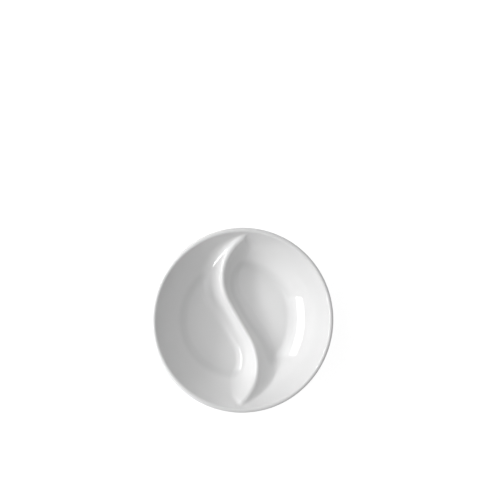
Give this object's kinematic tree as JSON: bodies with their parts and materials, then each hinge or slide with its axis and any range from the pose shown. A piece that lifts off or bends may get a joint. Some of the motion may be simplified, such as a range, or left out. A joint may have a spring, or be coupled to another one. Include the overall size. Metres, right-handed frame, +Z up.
{
  "type": "divided serving bowl",
  "caption": "Round glazed porcelain serving bowl on a foot ring, parted into comma-shaped compartments by an S-shaped divider.",
  "frame": {"origin": "middle of the circle that the foot ring stands on, on the table", "axes": "+Z up out of the bowl; the divider's two ends lie near +Y and -Y, and its upper half, towards +Y, bulges to -X"},
  "size_m": [0.14, 0.14, 0.04],
  "materials": {
    "shell_glaze": "smooth clear glaze over white porcelain",
    "divider_glaze": "smooth clear glaze over white porcelain",
    "foot_ring": "glazed sides and a bare, rubbed standing band"
  },
  "bodies": {
    "root": {"bowl_shell": "shell_glaze", "s_divider": "divider_glaze", "foot_ring": "foot_ring"}
  },
  "joints": []
}
